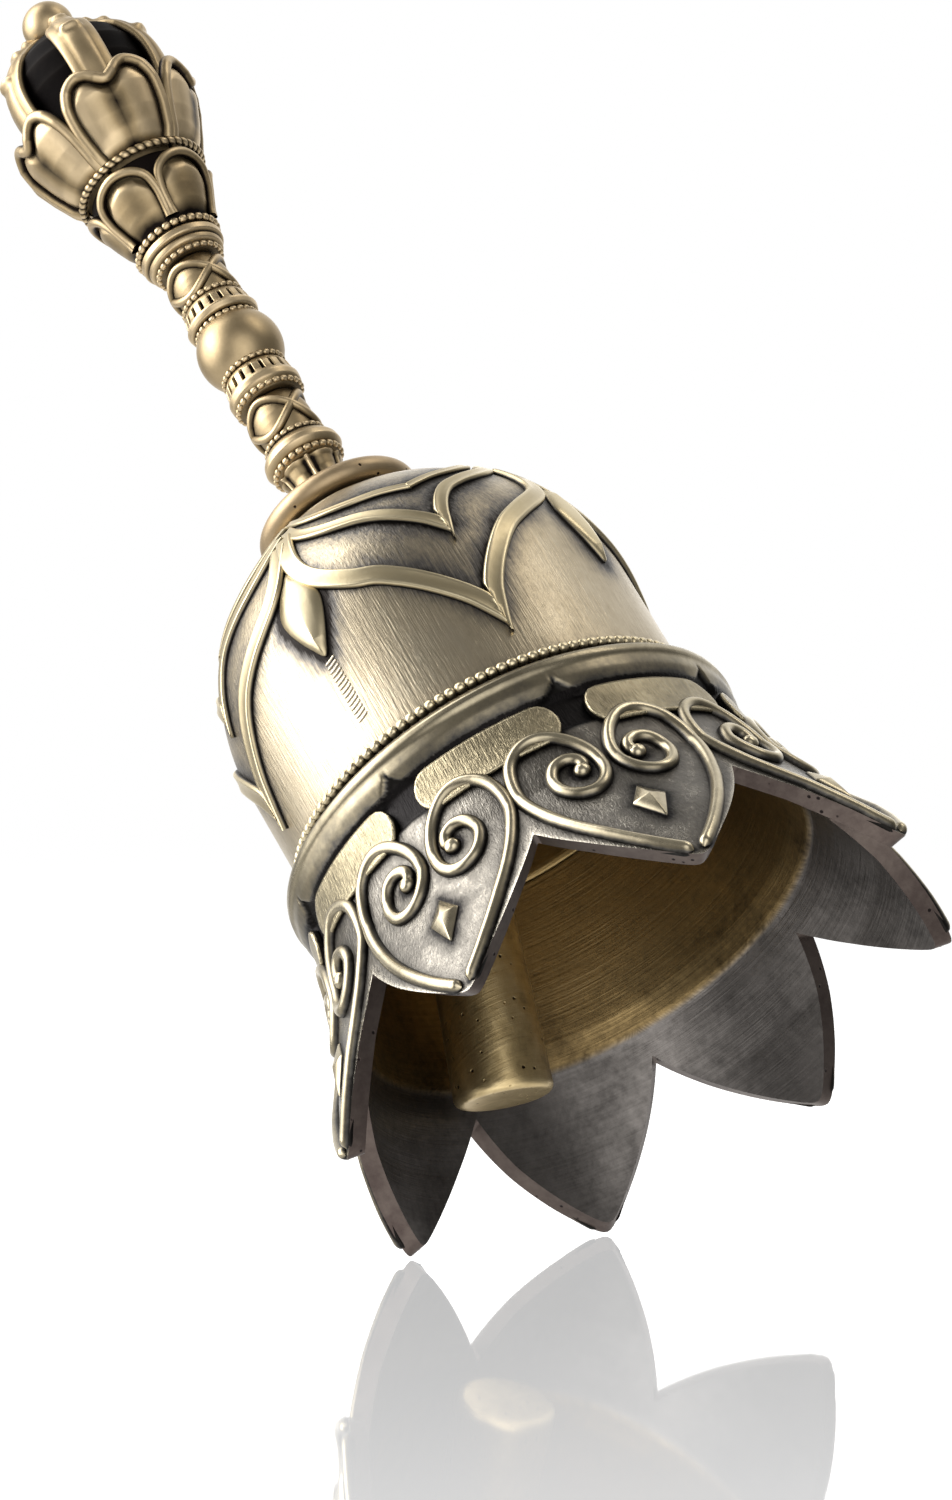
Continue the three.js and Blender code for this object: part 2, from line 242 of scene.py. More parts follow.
def turned_piece(casting, profile, columns, step=0.15, shape=None, reach=0.8, strength=4.5, zone=0, tone=-0.05,
                 shade_and_patina=None):
    """Turns an outer profile of (radius, height), lowest first, and closes it along the bore.

    shape(angle, radius, height) gives the radius to use. Recesses get painted shade and patina and crests a painted
    highlight and wear, and the last argument, a function of angle and height, adds more painted shade and patina."""
    outer = even_line(np.asarray(profile, float), step)
    angle = np.linspace(0, 360, columns, endpoint=False)
    grid_angle = np.broadcast_to(angle, (len(outer), columns))
    radius = np.repeat(outer[:, :1], columns, 1)
    z = np.repeat(outer[:, 1:], columns, 1)
    if shape:
        radius = shape(grid_angle, radius, z)
    around_step = 2 * math.pi * outer[:, 0].mean() / columns
    cavity = radius - blurred(radius, int(round(reach / step)), int(round(reach / around_step)))
    if shade_and_patina:
        tone = tone + shade_and_patina(grid_angle, z)
    shade = np.clip(cavity * strength + tone, -1, 1)
    bore = np.full((1, columns), BORE_R)
    radius = np.vstack([bore, radius, bore])
    z = np.vstack([z[:1], z, z[-1:]])
    shade = np.vstack([shade[:1], shade, shade[-1:]])
    casting.grid(around(radius, angle, z), shade, wrap_rows=True, zone=zone)
    return casting


def bead_row(casting, radius, z, bead, count, square=2.0, turn=0.0, zone=0):
    """A ring of beads, pinched between each two."""
    per_bead, sides = 10, 12
    angle = np.arange(count * per_bead) * 360 / (count * per_bead)
    t = 2 * ((angle / 360 * count) % 1) - 1
    swell = np.clip(1 - np.abs(t) ** (2 * square / 2 + 0.6), 0, 1) ** 0.5
    size = bead * (0.2 + 0.8 * swell)
    around_section = np.linspace(0, 2 * math.pi, sides, endpoint=False)[:, None]
    r = radius + size * np.cos(around_section)
    height = z + size * np.sin(around_section)
    # Painted shade in the pinches between the beads and a painted highlight on each bead.
    shade = np.broadcast_to(np.clip(2.6 * swell - 1.7, -1, 0.7), r.shape)
    casting.grid(around(r, angle + turn, height), shade, wrap_rows=True, zone=zone)
    return casting


def smooth_step(value):
    t = np.clip(value, 0, 1)
    return t * t * (3 - 2 * t)


def from_petal(angle, first):
    """The signed angle to the middle of the nearest of five petals."""
    pitch = 360 / PRONGS
    return (angle - first + pitch / 2) % pitch - pitch / 2


# ---- Materials ----
def link(tree, a, b):
    tree.links.new(a, b)


def node(tree, kind, **values):
    made = tree.nodes.new(kind)
    for key, value in values.items():
        if key in made.inputs:
            made.inputs[key].default_value = value
        else:
            setattr(made, key, value)
    return made


def noise(tree, coordinates, scale, detail=3.0, roughness=0.55):
    """Noise in object space. The scale is per metre along X, Y and Z, so unequal scales give streaks."""
    mapping = node(tree, "ShaderNodeMapping")
    mapping.inputs["Scale"].default_value = scale
    link(tree, coordinates, mapping.inputs["Vector"])
    made = node(tree, "ShaderNodeTexNoise", Scale=1.0, Detail=detail, Roughness=roughness)
    link(tree, mapping.outputs[0], made.inputs["Vector"])
    return made.outputs["Fac"]


def arithmetic(tree, operation, a, b, clamp=False):
    made = node(tree, "ShaderNodeMath", operation=operation, use_clamp=clamp)
    for socket, value in zip(made.inputs, (a, b)):
        if isinstance(value, (int, float)):
            socket.default_value = value
        else:
            link(tree, value, socket)
    return made.outputs[0]


PIT_SCALE = 520.0
STREAK_SHADE = 0.4  # how far a brushed mark changes the colour


def metal(name, dark, middle, bright, rough=0.34, rough_dark=0.55, blotch=0.25, streaks=(), pits=0.0, below=None,
          tarnish=None):
    """An aged metal. The shade attribute and a blotchy noise choose between its three colours.

    streaks is a list of (scale, strength in metres) for brushed or turned marks. below is a height and
    the darker colour that the metal has under it. tarnish is a cool colour between the dark and the middle."""
    material = bpy.data.materials.new(name)
    material.use_nodes = True
    tree = material.node_tree
    shader = tree.nodes["Principled BSDF"]
    shader.inputs["Metallic"].default_value = 1.0
    place = node(tree, "ShaderNodeTexCoord").outputs["Object"]
    shade = node(tree, "ShaderNodeAttribute", attribute_name="shade").outputs["Fac"]
    cloud = noise(tree, place, (130, 130, 130), 5.0, 0.6)
    fine = noise(tree, place, (900, 900, 900), 4.0, 0.6)
    spread = arithmetic(tree, "MULTIPLY", arithmetic(tree, "SUBTRACT", cloud, 0.5), 2 * blotch)
    grit = arithmetic(tree, "MULTIPLY", arithmetic(tree, "SUBTRACT", fine, 0.5), blotch)
    mixed = arithmetic(tree, "ADD", shade, arithmetic(tree, "ADD", spread, grit))
    marks = [(noise(tree, place, scale, 3.0, 0.6), strength) for scale, strength in streaks]
    for streak, strength in marks:
        worn_line = arithmetic(tree, "MULTIPLY", arithmetic(tree, "SUBTRACT", streak, 0.5), STREAK_SHADE)
        mixed = arithmetic(tree, "ADD", mixed, worn_line)
    pit = None
    if pits:
        cells = node(tree, "ShaderNodeTexVoronoi", Scale=PIT_SCALE)
        link(tree, place, cells.inputs["Vector"])
        hole = node(tree, "ShaderNodeMapRange", interpolation_type="SMOOTHSTEP")
        hole.inputs["From Min"].default_value = 0.04
        hole.inputs["From Max"].default_value = 0.16
        link(tree, cells.outputs["Distance"], hole.inputs["Value"])
        pit = hole.outputs[0]
        mixed = arithmetic(tree, "ADD", mixed, arithmetic(tree, "MULTIPLY", arithmetic(tree, "SUBTRACT", pit, 1.0), 1.3))
    level = arithmetic(tree, "MULTIPLY_ADD", mixed, 0.5)
    tree.nodes[-1].inputs[2].default_value = 0.5
    ramp = node(tree, "ShaderNodeValToRGB")
    link(tree, level, ramp.inputs["Fac"])
    stops = ramp.color_ramp.elements
    stops[0].position, stops[0].color = 0.08, (*dark, 1)
    stops[1].position, stops[1].color = 0.92, (*bright, 1)
    centre = stops.new(0.45)
    centre.color = (*middle, 1)
    if tarnish:
        cool = stops.new(0.22)
        cool.color = (*tarnish, 1)
    colour = ramp.outputs["Color"]
    if below:
        height, darker = below
        split = node(tree, "ShaderNodeSeparateXYZ")
        link(tree, place, split.inputs[0])
        under = node(tree, "ShaderNodeMapRange", interpolation_type="SMOOTHSTEP")
        under.inputs["From Min"].default_value = (height + 0.5) * MM
        under.inputs["From Max"].default_value = (height - 0.5) * MM
        link(tree, split.outputs["Z"], under.inputs["Value"])
        worn = node(tree, "ShaderNodeMix", data_type="RGBA", blend_type="MULTIPLY")
        worn.inputs["Factor"].default_value = 1.0
        worn.inputs["A"].default_value = (*darker, 1)
        tint = node(tree, "ShaderNodeMapRange")
        tint.inputs["To Min"].default_value = -0.1
        tint.inputs["To Max"].default_value = 2.1
        link(tree, level, tint.inputs["Value"])
        link(tree, tint.outputs[0], worn.inputs["B"])
        swap = node(tree, "ShaderNodeMix", data_type="RGBA")
        link(tree, under.outputs[0], swap.inputs["Factor"])
        link(tree, colour, swap.inputs["A"])
        link(tree, worn.outputs["Result"], swap.inputs["B"])
        colour = swap.outputs["Result"]
    link(tree, colour, shader.inputs["Base Color"])
    roughness = node(tree, "ShaderNodeMapRange")
    roughness.inputs["From Min"].default_value = 0.1
    roughness.inputs["From Max"].default_value = 0.6
    roughness.inputs["To Min"].default_value = rough_dark
    roughness.inputs["To Max"].default_value = rough
    link(tree, level, roughness.inputs["Value"])
    link(tree, roughness.outputs[0], shader.inputs["Roughness"])
    normal = None
    layers = marks + [(fine, 0.00002)]
    if pit:
        layers.append((pit, pits))
    for height, strength in layers:
        bump = node(tree, "ShaderNodeBump", Strength=1.0, Distance=strength)
        link(tree, height, bump.inputs["Height"])
        if normal:
            link(tree, normal, bump.inputs["Normal"])
        normal = bump.outputs[0]
    link(tree, normal, shader.inputs["Normal"])
    return material


UPRIGHT = (2400, 2400, 140)  # streaks that run up and down a wall
FINE_UPRIGHT = (5200, 5200, 420)
LIP_Z = 19.8  # the turned part of the inside ends here, and the petals' dark backs begin
TURNED = (60, 60, 3000)  # marks that run round a turned face

DOME_BRASS = metal(
    "dome brass", (0.016, 0.014, 0.013), (0.47, 0.40, 0.285), (0.80, 0.73, 0.58), 0.28, 0.48, 0.28,
    [(UPRIGHT, 0.00007), (FINE_UPRIGHT, 0.00004)], tarnish=(0.125, 0.117, 0.109),
)
RELIEF_BRASS = metal(
    "relief brass", (0.02, 0.018, 0.016), (0.46, 0.385, 0.24), (0.80, 0.70, 0.48), 0.31, 0.5, 0.22,
    tarnish=(0.13, 0.119, 0.10),
)
SKIRT_METAL = metal(
    "skirt metal", (0.012, 0.011, 0.011), (0.15, 0.139, 0.122), (0.64, 0.595, 0.51), 0.24, 0.42, 0.45,
    [(UPRIGHT, 0.00008), (FINE_UPRIGHT, 0.00007)],
)
SCROLL_BRASS = metal(
    "scroll brass", (0.015, 0.014, 0.013), (0.28, 0.243, 0.17), (0.74, 0.655, 0.47), 0.25, 0.45, 0.5,
    tarnish=(0.08, 0.0755, 0.069),
)
PLATE_BRASS = metal(
    "plate brass", (0.015, 0.013, 0.011), (0.32, 0.275, 0.18), (0.74, 0.65, 0.45), 0.27, 0.45, 0.5,
    [(UPRIGHT, 0.00012), (FINE_UPRIGHT, 0.00008)],
)
EDGE_METAL = metal("edge metal", (0.02, 0.016, 0.016), (0.085, 0.066, 0.06), (0.26, 0.22, 0.19), 0.42, 0.55, 0.4, pits=0.0001)
INSIDE_BRASS = metal(
    "inside brass", (0.03, 0.018, 0.008), (0.40, 0.29, 0.13), (0.60, 0.47, 0.25), 0.36, 0.5, 0.35,
    [(TURNED, 0.00009)],
)
INSIDE_SKIRT = metal(
    "inside skirt", (0.02, 0.013, 0.008), (0.31, 0.22, 0.10), (0.52, 0.40, 0.21), 0.32, 0.48, 0.7,
    [(TURNED, 0.00004)], below=(LIP_Z, (0.15, 0.139, 0.132)),
)
HANDLE_BRASS = metal("handle brass", (0.012, 0.009, 0.008), (0.33, 0.25, 0.14), (0.72, 0.57, 0.36), 0.40, 0.5, 0.25)
FLANGE_BRASS = metal(
    "flange brass", (0.02, 0.012, 0.008), (0.40, 0.30, 0.18), (0.64, 0.51, 0.34), 0.42, 0.5, 0.35, pits=0.00012
)
# Near black; on the crown's core it is a painted shadow.
DARK_BRASS = metal("dark brass", (0.003, 0.0025, 0.0025), (0.006, 0.005, 0.005), (0.02, 0.017, 0.015), 0.7, 0.8)
CLAPPER_BRASS = metal(
    "clapper brass", (0.03, 0.02, 0.01), (0.42, 0.32, 0.16), (0.66, 0.53, 0.30), 0.36, 0.52, 0.6,
    [(TURNED, 0.00004)], pits=0.00012,
)
STEEL = metal("dull steel", (0.05, 0.05, 0.05), (0.3, 0.29, 0.28), (0.5, 0.5, 0.5), 0.38, 0.5)

# ---- The dome ----
# Lines in relief as (angle, height), counted from the tip of a V. Each V has a left and a right arm,
# and they are repeated a quarter of a turn apart.
QUARTERS = [0, 90, 180, 270]
LOWER_SWAG = (
    [(-44, 82), (-43.4, 79), (-42.4, 76), (-40, 73), (-35.6, 70.2), (-28.6, 67.4), (-23, 65.9), (-18, 63.9), (-13.6, 61.9),
     (-8.6, 59.3), (-4, 56.6), (0, 53.5), (3, 51)],
    [(-2, 49.8), (0, 53.5), (2.4, 57.2), (6.4, 60.8), (11.4, 64.1), (16.4, 66.6), (21.4, 68.3), (26.4, 69.8), (31.4, 71.2),
     (36.4, 72.9), (40, 75.2), (42.4, 78.2), (43.6, 81)],
)
MIDDLE_SWAG = (
    [(-43, 83.5), (-38.6, 81), (-33.6, 79.3), (-28.6, 78.1), (-23.6, 77.2), (-18.6, 76.3), (-13.6, 75.0), (-8.6, 73.2),
     (-3.6, 71.0), (0, 68.9), (3, 67.1)],
    [(-2, 65.9), (0, 68.9), (2, 71.7), (5, 74.2), (9, 76), (15, 77.2), (22, 78.2), (29, 79.3), (36, 81), (43, 83.5)],
)
UPPER_SWAG = (
    [(-44, 86), (-32, 82.8), (-20, 80.9), (-9, 79.9), (0, 78.8), (3, 78.4)],
    [(-3, 78.4), (0, 78.8), (9, 79.9), (20, 80.9), (32, 82.8), (44, 86)],
)
SWAG_SECTIONS = (
    # the lines, and the ribbon's width and height
    (LOWER_SWAG, 2.9, 0.85),
    (MIDDLE_SWAG, 2.1, 0.7),
    (UPPER_SWAG, 1.4, 0.55),
)


def band_section(width, height):
    """A ribbon with a slightly hollow face, a painted highlight along both edges, and painted shade on its steep sides.
    """
    w = width / 2
    half = [(1.0, -0.6, -1), (1.0, 0.15, -1), (0.97, 0.5, -0.3), (0.88, 0.85, 0.4), (0.74, 1.0, 0.5), (0.52, 0.93, 0.1)]
    left = [(-x * w, up * height, shade) for x, up, shade in half]
    right = [(x * w, up * height, shade) for x, up, shade in half[::-1]]
    return left + [(0, 0.86 * height, 0.0)] + right


LEAF_OUTLINE = [
    (0, 75.4), (2.6, 73.6), (5.0, 71.8), (6.9, 69.4), (6.6, 67.4), (4.9, 64.9), (2.6, 62.4), (0, 60.3),
    (-2.6, 62.4), (-4.9, 64.9), (-6.6, 67.4), (-6.9, 69.4), (-5.0, 71.8), (-2.6, 73.6),
]
LEAF_ANGLE = -45  # from the V's tip
# The leaf's rings as (share, up, shade): painted shade at its foot and a painted highlight along its spine.
LEAF_HEIGHTS = [(1.04, -0.4, -1), (1.0, 0.1, -1), (0.93, 0.45, 0.1), (0.5, 0.8, 0.35), (0.12, 1.1, 0.6), (0.0, 1.15, 0.9)]


def near_shade(points, marks, dark, reach):
    """Shade that is dark beside the marks and fades out over the reach, in millimetres."""
    tree = KDTree(len(marks))
    for i, mark in enumerate(marks):
        tree.insert(mark, i)
    tree.balance()
    distance = np.array([tree.find(p)[2] for p in points])
    return -dark * np.exp(-np.maximum(distance, 0) / reach)


def add_ticks(casting):
    """The short raised ticks in a row under the front leaf."""
    for z in np.arange(49.5, 59.5, 0.7):
        line = even_line([(-1.7, z), (0.2, z + 0.2), (2.0, z + 0.5)], 0.3)
        strip(casting, dome_radius, line, wire_section(0.42, 0.16, 6), FIRST_PETAL + LEAF_ANGLE, taper=2)


def make_dome():
    casting = Casting()
    add_ticks(casting)
    marks = []
    for swag, width, height in SWAG_SECTIONS:
        section = band_section(width, height)
        for quarter in QUARTERS:
            for keep, arm in zip((-1, 1), swag):
                line = smooth_line(arm, 0.5)
                marks.append(strip(casting, dome_radius, line, section, FIRST_PETAL + quarter, zone=1, keep=keep))
    outline = smooth_line(LEAF_OUTLINE, 0.3, closed=True)[:-1]
    spine = np.stack([0.0 * outline[:, 0], np.clip(outline[:, 1], 63, 73)], 1)
    for quarter in QUARTERS:
        first = FIRST_PETAL + LEAF_ANGLE + quarter
        marks.append(boss(casting, dome_radius, outline, spine, LEAF_HEIGHTS, first, zone=1))
    marks = np.vstack(marks)

    top_angle = math.degrees(math.acos(11.3 / DOME_R))
    arc = [(DOME_R * math.cos(a), DOME_CENTRE_Z + DOME_R * math.sin(a)) for a in np.radians(np.linspace(0, top_angle, 60))]
    outer = [(DOME_R, SEAM_Z)] + arc
    ring = [(11.2, 89.9), (11.35, 90.3), (11.1, 90.7), (10.6, 90.75), (BORE_R, 90.7)]
    outer = even_line(np.array(outer), 0.33)
    columns = 560
    angle = np.linspace(0, 360, columns, endpoint=False)
    points = around(outer[:, :1], angle[None, :] + FIRST_PETAL, outer[:, 1:])
    shade = near_shade(points.reshape(-1, 3), marks, 1.25, 1.8).reshape(points.shape[:2])
    from_tip = (angle + 45) % 90 - 45
    low_edge = np.interp(from_tip, *zip(*(LOWER_SWAG[0][:-1] + LOWER_SWAG[1][2:])))
    tarnish = smooth_step((from_tip + 31) / 10) * smooth_step((28 - from_tip) / 12)
    shade -= 0.22 * tarnish * np.clip((outer[:, 1:] - low_edge) / 1.5, 0, 1)
    # Painted shade in the crease just above the bead band.
    shade += -0.9 * np.exp(-(outer[:, 1:] - SEAM_Z) / 0.9)
    casting.grid(points, np.clip(shade, -1, 1))
    cap = even_line(np.vstack([outer[-1:], ring]), 0.2)
    cap_points = around(cap[:, :1], angle[None, ::2], cap[:, 1:])
    casting.grid(cap_points, np.full(cap_points.shape[:2], 0.25))
    inner_r = DOME_R - 2.5
    pad = math.degrees(math.asin((87 - DOME_CENTRE_Z) / inner_r))
    inner = [(inner_r * math.cos(a), DOME_CENTRE_Z + inner_r * math.sin(a)) for a in np.radians(np.linspace(pad, 0, 40))]
    inner = np.array([(BORE_R, 90.7), (BORE_R, 87)] + inner + [(inner_r, SEAM_Z), (DOME_R, SEAM_Z)])
    inner = even_line(inner, 1.0)
    casting.grid(around(inner[:, :1], angle[None, ::4], inner[:, 1:]), -0.2, zone=2)
    return casting.make("cast_dome", [DOME_BRASS, RELIEF_BRASS, INSIDE_BRASS], "bell", ["bell_dome"])


def make_bead_band():
    casting = Casting()
    bead_row(casting, DOME_R + 0.68, SEAM_Z + 0.15, 0.77, 124)
    return casting.make("seam_beads", [RELIEF_BRASS], "bell", ["bead_band"])


# ---- The petal skirt ----
# One half of a petal's scroll, from the petal's tip up its edge, over the arch and into the volute.
SCROLL = [
    (0.9, 1.0), (5.6, 4.7), (11.0, 9.6), (15.5, 14.2), (18.8, 18.4), (20.9, 22.2), (21.1, 25.4), (19.6, 28.5), (16.2, 30.5),
    (12, 31.1), (8, 30.2), (4.2, 27.8), (2.1, 24.8), (2.2, 21.8), (4.2, 19.5), (7.2, 18.5), (10.6, 19.1), (12.9, 21.1),
    (13.2, 23.3), (11.6, 25.1), (8.8, 25.7), (6.4, 25.1), (5.6, 23.9), (6.6, 22.9),
]
LOZENGE = [(0, 16.4), (3.5, 13.2), (0, 8.6), (-3.5, 13.2)]
PLATE_HALF = 18.8
PLATE_Z = (29.4, 36.1)


def petal_edge(aside):
    """The height of the skirt's lower edge, from the angle to the middle of the nearest petal."""
    share = (np.hypot(aside, TIP_ROUND) - TIP_ROUND) / (180 / PETALS - TIP_ROUND)
    return NOTCH_Z * (0.9 * share + 0.1 * share ** 3)


def stadium(half_angle, low, high, radius):
    """The outline of a plate with round ends, as angles and heights."""
    mid, half = (low + high) / 2, (high - low) / 2
    reach = math.degrees(half / radius) * 0.8
    right = [(half_angle - reach + reach * math.cos(a), mid + half * math.sin(a)) for a in np.linspace(-1.57, 1.57, 9)]
    left = [(-x, 2 * mid - z) for x, z in right]
    outline = np.array(right + left + right[:1])
    return even_line(outline, 0.5)[:-1]


def make_skirt():
    casting = Casting()
    marks = []
    scroll = smooth_line(SCROLL, 0.45)
    wire = wire_section(1.95, 1.1)
    outline = stadium(PLATE_HALF, *PLATE_Z, 32.5)
    spine = np.stack([np.clip(outline[:, 0], 6 - PLATE_HALF, PLATE_HALF - 6), 0 * outline[:, 0] + sum(PLATE_Z) / 2], 1)
    # The shades in the plate, facet and button sections are painted shade at each raised patch's foot and painted
    # highlights on its rounded edges, and on the top of the facets and the button.
    plate = [(1.0, -0.4, -1), (1.0, 0.15, -0.9), (0.985, 0.42, 0.2), (0.95, 0.62, 0.45), (0.86, 0.6, -0.1), (0.5, 0.5, -0.2), (0, 0.48, -0.2)]
    lozenge = even_line(np.array(LOZENGE + LOZENGE[:1], float), 0.4)[:-1]
    apex = np.tile([[0.0, 13.0]], (len(lozenge), 1))
    facets = [(1.06, -0.4, -1), (1.0, 0.1, -0.8), (0.94, 0.35, 0.4), (0.5, 0.75, 0.2), (0.06, 1.1, 0.7), (0, 1.12, 0.9)]
    turn = np.radians(np.arange(0, 360, 15))
    eye = np.tile([SCROLL[-1]], (len(turn), 1))
    knob = eye + np.stack([2.0 * np.cos(turn), 1.15 * np.sin(turn)], 1)
    button = [(1.05, -0.4, -1), (1.0, 0.2, -0.7), (0.85, 0.75, 0.3), (0.5, 1.1, 0.8), (0, 1.2, 0.8)]
    for petal in range(PETALS):
        first = FIRST_PETAL + petal * 360 / PETALS
        for side in (1, -1):
            line = scroll * [side, 1]
            marks.append(strip(casting, skirt_radius, line, wire, first, taper=3, zone=1))
            marks.append(boss(casting, skirt_radius, knob * [side, 1], eye * [side, 1], button, first, zone=1))
        marks.append(boss(casting, skirt_radius, outline, spine, plate, first + 180 / PETALS, zone=5))
        marks.append(boss(casting, skirt_radius, lozenge, apex, facets, first, zone=1))
    marks = np.vstack(marks)

    per_petal = 60
    columns = PETALS * per_petal
    angle = np.linspace(0, 360, columns, endpoint=False)
    pitch = 360 / PETALS
    aside = np.abs((angle + pitch / 2) % pitch - pitch / 2)
    edge = petal_edge(aside)
    top = SEAM_Z - 0.2
    crowd_z = 30.0

    def rows(heights):
        z = np.asarray(heights, float)[:, None]
        return np.where(z < crowd_z, edge + z / crowd_z * (crowd_z - edge), z)

    down = np.concatenate([np.linspace(top, 36, 26), np.linspace(35.7, 0.2, 80), [0.06, 0.0]])
    z = rows(down)
    cusp_half = 6.2 * np.clip((40.0 - z) / 4.0, 0, 1) ** 2.4
    cusp = np.clip((cusp_half - aside) / 0.7, 0, 1) * (z > 31)
    radius = skirt_radius(z) - 0.6 * cusp
    outside = around(radius, angle + FIRST_PETAL, z)
    shade = near_shade(outside.reshape(-1, 3), marks, 1.5, 0.85).reshape(z.shape)
    rim = np.exp(-(z - edge) / 0.5)
    # The moulding and plate bands are darker, and the moulding's rounded edge near 41 mm gets a painted highlight.
    moulding = np.where(z > 36.5, -0.16, np.where(z > 30.5, -0.55, 0)) + 0.2 * np.exp(-((z - 41.0) / 1.2) ** 2)
    # Painted shade: a thin line under the moulding's overhang, in the sunk cusps, and in the groove just under the bead
    # band.
    dark = 0.9 * np.exp(-((z - 36.3) / 0.35) ** 2) + 1.2 * cusp + 0.7 * np.exp(-((z - 43.4) / 0.5) ** 2)
    shade = np.clip(shade + 0.9 * rim + moulding - dark, -1, 1)
    crown_rows = int((down > 36.8).sum())
    casting.grid(outside[:crown_rows], shade[:crown_rows], zone=1)
    casting.grid(outside[crown_rows - 1:], shade[crown_rows - 1:], zone=0)
    inside_radius = table_radius(SKIRT_INSIDE)
    across = np.linspace(0, 1, 8)[:, None]
    low = rows([0.0])
    cut = around(skirt_radius(low) * (1 - across) + inside_radius(low) * across, angle + FIRST_PETAL, low + 0 * across)
    casting.grid(cut, 0.0 * across + 0 * angle, zone=3)
    petal_rows = rows(np.linspace(0, 19.6 * 1.0, 44))
    up = np.vstack([petal_rows, rows(np.linspace(20, top, 40))])
    z = np.maximum.accumulate(up, axis=0)
    inner = around(inside_radius(z), angle + FIRST_PETAL, z)
    lip = int((np.median(z, axis=1) < 19.8).sum())
    shade = np.where(z < LIP_Z, -0.1, -0.5 * np.exp(-np.maximum(z - LIP_Z, 0) / 5.5))
    casting.grid(inner[: lip + 1], shade[: lip + 1], zone=2)
    casting.grid(inner[lip:], shade[lip:], zone=4)
    casting.grid(np.stack([inner[-1], outside[0]]), 0.0, zone=0)
    materials = [SKIRT_METAL, SCROLL_BRASS, INSIDE_SKIRT, EDGE_METAL, INSIDE_SKIRT, PLATE_BRASS]
    return casting.make("cast_skirt", materials, "bell", ["petal_skirt"])


make_dome()
make_bead_band()
make_skirt()


# ---- The handle ----
def rod_piece(name, node_name, profile, columns, material=HANDLE_BRASS, slot="handle_brass", extra=None, **options):
    casting = Casting()
    turned_piece(casting, profile, columns, **options)
    if extra:
        extra(casting)
    return casting.make(name, [material], "bell", [node_name])


def arc_profile(centre_r, centre_z, radius, start, end, steps=24):
    a = np.radians(np.linspace(start, end, steps))
    return [(centre_r + radius * math.cos(t), centre_z + radius * math.sin(t)) for t in a]


rod_piece("flange_disc", "neck_flange",
          [(9.6, 91.5)] + arc_profile(10.1, 93.25, 1.75, -88, 70) + [(9, 95.4), (7, 96.1), (5.6, 96.5), (4.9, 96.95)],
          240, FLANGE_BRASS, "flange_brass", strength=1.2)


def neck_shape(angle, radius, z):
    """Five smooth lobes. A thin rib stands in the channel between each two."""
    aside = from_petal(angle, NECK_RIB)
    drip = 0.35 * np.exp(-((z - 97.5) / 0.6) ** 2)
    return radius + 0.1 - 0.7 * np.exp(-(aside / 15) ** 2) + (0.7 + drip) * np.exp(-(aside / 5.5) ** 2)


rod_piece("neck_drips", "ribbed_neck", [(4.3, 97.1), (4.0, 98.4), (3.9, 100), (4.2, 101.4), (4.6, 102)], 200,
          shape=neck_shape, strength=4)
rod_piece("collar_low", "lower_collar",
          [(4.8, 102.2), (4.9, 103.1), (5.2, 103.3), (5.75, 104.1), (5.6, 105), (5.2, 105.6), (4.6, 106.2)], 200,
          extra=lambda c: bead_row(c, 4.85, 102.75, 0.5, 26))


LOOP_ANGLE = 2.0  # where a loop of the wire is at its widest


def lattice(name, node_name, low, high, middle, swing):
    """A barrel core with one wire wound twice around it, so that it crosses itself three times."""
    casting = Casting()
    core = [(3.5, low), (3.7, low + 0.6), (4.15, middle - swing * 0.4), (4.25, middle), (4.15, middle + swing * 0.4),
            (3.7, high - 0.6), (3.5, high)]
    turned_piece(casting, core, 160, strength=0.6, tone=0.05)
    heights, radii = [z for _, z in core], [r for r, _ in core]
    core_radius = lambda z: np.interp(z, heights, radii)
    turns = np.linspace(0, 720, 480)
    line = np.stack([turns, middle + swing * np.cos(np.radians(1.5 * (turns - LOOP_ANGLE)))], 1)
    strip(casting, core_radius, line, wire_section(1.35, 0.75), first=0.0)
    bead_row(casting, 4.25, low + 0.45, 0.42, 24)
    return casting.make(name, [HANDLE_BRASS], "bell", [node_name])


lattice("lattice_low", "lower_lattice", 106.4, 114.0, 110.7, 2.7)
lattice("lattice_high", "upper_lattice", 132.5, 139.6, 136.2, 2.4)


def slots_shape(low, high, count=20, depth=0.6):
    def shape(angle, radius, z):
        around_share = np.abs(((angle + 90 + 8) / 360 * count) % 1 - 0.5) * 2
        groove = np.clip((0.34 - around_share) / 0.12, 0, 1)
        tall = np.clip((z - low) / 0.25, 0, 1) * np.clip((high - z) / 0.25, 0, 1)
        return radius - depth * groove * tall
    return shape


rod_piece("drum_low", "lower_drum",
          [(4.6, 114.2), (4.9, 115.2), (5.25, 115.6), (5.35, 116.5), (5.0, 117.4), (4.85, 118.6), (4.5, 119.4)], 400,
          shape=slots_shape(117.0, 118.9), extra=lambda c: bead_row(c, 4.75, 114.8, 0.45, 26))
rod_piece("drum_high", "upper_drum",
          [(4.5, 128.6), (5.1, 128.9), (5.35, 129.7), (5.0, 130.4), (4.8, 131.6), (4.5, 132.3)], 400,
          shape=slots_shape(130.0, 131.8))
rod_piece("ball_mid", "grip_ball", arc_profile(0, 124.1, 6.1, -45, 45, 40), 200, strength=0.5, tone=0.1,
          extra=lambda c: (bead_row(c, 4.45, 120.0, 0.42, 26), bead_row(c, 4.5, 128.2, 0.42, 26)))
rod_piece("collar_high", "upper_collar",
          [(4.7, 139.8), (4.9, 140.5), (5.5, 140.8), (5.65, 141.4), (5.5, 141.7), (6.1, 142.0), (6.15, 142.9), (5.9, 143.2)],
          200, extra=lambda c: bead_row(c, 4.75, 140.1, 0.42, 26))

